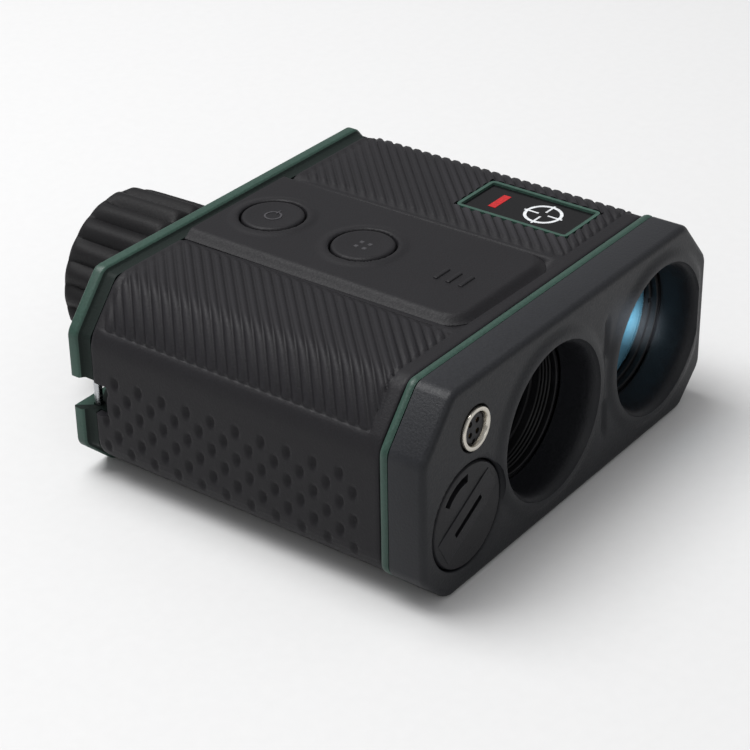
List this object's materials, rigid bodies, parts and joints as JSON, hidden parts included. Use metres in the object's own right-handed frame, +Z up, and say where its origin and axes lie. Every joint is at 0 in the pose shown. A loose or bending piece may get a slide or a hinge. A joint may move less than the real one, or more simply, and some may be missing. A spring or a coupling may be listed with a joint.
{
  "type": "laser rangefinder",
  "caption": "Handheld laser rangefinder with two deep lens wells, a fluted rear eyepiece, two top buttons, a coin-slot battery cap and a round data socket.",
  "frame": {"origin": "on the base plane, under the middle of the whole object's bounding box", "axes": "+Z up, -Y the way the lenses look, +X to the right when looking at the lenses"},
  "size_m": [0.09, 0.1016, 0.0399],
  "materials": {
    "armour_rubber": "matte ribbed overmoulded rubber",
    "panel_rubber": "smooth satin rubber",
    "bezel_plastic": "fine spark-eroded moulded nylon",
    "green_plastic": "satin moulded nylon",
    "inner_plastic": "plain moulded, matt black",
    "label_face": "gloss printed plate",
    "ring_rubber": "fluted matte rubber",
    "eyecup_rubber": "soft matte rubber",
    "seal_rubber": "smooth",
    "stainless_steel": "bright turned",
    "nickel_plate": "satin nickel",
    "brass": "turned",
    "gold_plate": "plated",
    "aluminium": "machined",
    "lens_glass": "polished, grey-violet coating",
    "coated_lens_glass": "polished, blue coating",
    "prism_glass": "polished",
    "circuit_board": "green solder mask",
    "chip_plastic": "moulded epoxy",
    "ribbon_film": "polyimide film",
    "battery_wrap": "shrink wrap"
  },
  "bodies": {
    "case": {"housing": "green_plastic", "armour": "armour_rubber", "control_panel": "panel_rubber", "front_bezel": "bezel_plastic", "front_seal": "green_plastic", "rear_frame": "green_plastic", "rear_panel": "bezel_plastic", "label_plate": "label_face", "strap_pin": "stainless_steel", "tripod_insert": "brass", "rear_screw_1": "stainless_steel", "rear_screw_2": "stainless_steel", "rear_screw_3": "stainless_steel", "rear_screw_4": "stainless_steel", "power_switch": "chip_plastic", "mode_switch": "chip_plastic", "keypad_board": "circuit_board", "keypad_ribbon": "ribbon_film", "objective_barrel": "inner_plastic", "objective_lens": "lens_glass", "objective_retainer": "inner_plastic", "receiver_barrel": "inner_plastic", "receiver_lens": "coated_lens_glass", "receiver_retainer": "inner_plastic", "erecting_prism": "prism_glass", "prism_holder": "inner_plastic", "display_module": "chip_plastic", "laser_module": "brass", "detector_module": "stainless_steel", "detector_board": "circuit_board", "optical_chassis": "aluminium", "eyepiece_barrel": "inner_plastic", "main_board": "circuit_board", "processor_chip": "chip_plastic", "tilt_sensor": "stainless_steel", "power_board": "circuit_board", "battery_tube": "inner_plastic", "battery_cell": "battery_wrap", "battery_spring": "stainless_steel", "connector_shell": "nickel_plate", "connector_insert": "inner_plastic", "connector_nut": "nickel_plate", "connector_pin_1": "gold_plate", "connector_pin_2": "gold_plate", "connector_pin_3": "gold_plate", "connector_pin_4": "gold_plate"},
    "power_button": {"power_button": "panel_rubber"},
    "mode_button": {"mode_button": "panel_rubber"},
    "focus_ring": {"focus_ring": "ring_rubber", "eyecup": "eyecup_rubber"},
    "lens_cell": {"lens_cell": "inner_plastic", "eyepiece_lens": "lens_glass", "field_lens": "lens_glass"},
    "cap_insert": {"cap_contact": "stainless_steel", "cap_seal": "seal_rubber"},
    "battery_cap": {"battery_cap": "bezel_plastic"}
  },
  "joints": [
    {"name": "power_button_press", "type": "slide", "parent": "case", "child": "power_button", "axis": [0, 0, -1], "range_m": [0, 0.0008], "stiffness_N_per_m": 400, "springref_m": -0.001},
    {"name": "mode_button_press", "type": "slide", "parent": "case", "child": "mode_button", "axis": [0, 0, -1], "range_m": [0, 0.0008], "stiffness_N_per_m": 400, "springref_m": -0.001},
    {"name": "focus_turn", "type": "hinge", "parent": "case", "child": "focus_ring", "pos_m": [-0.0073, 0.0397, 0.0196], "axis": [0, 1, 0], "range_deg": [-100, 100]},
    {"name": "lens_cell_travel", "type": "slide", "parent": "case", "child": "lens_cell", "axis": [0, 1, 0], "range_m": [-0.0015, 0.0015]},
    {"name": "cap_travel", "type": "slide", "parent": "case", "child": "cap_insert", "axis": [0, -1, 0], "range_m": [0, 0.0045]},
    {"name": "cap_turn", "type": "hinge", "parent": "cap_insert", "child": "battery_cap", "pos_m": [-0.0323, -0.048, 0.0136], "axis": [0, -1, 0], "range_deg": [0, 1080]}
  ],
  "couplings": [
    {"joint": "focus_turn", "follows": "lens_cell_travel", "rad_per_m": 1163},
    {"joint": "cap_turn", "follows": "cap_travel", "rad_per_m": 4188}
  ]
}
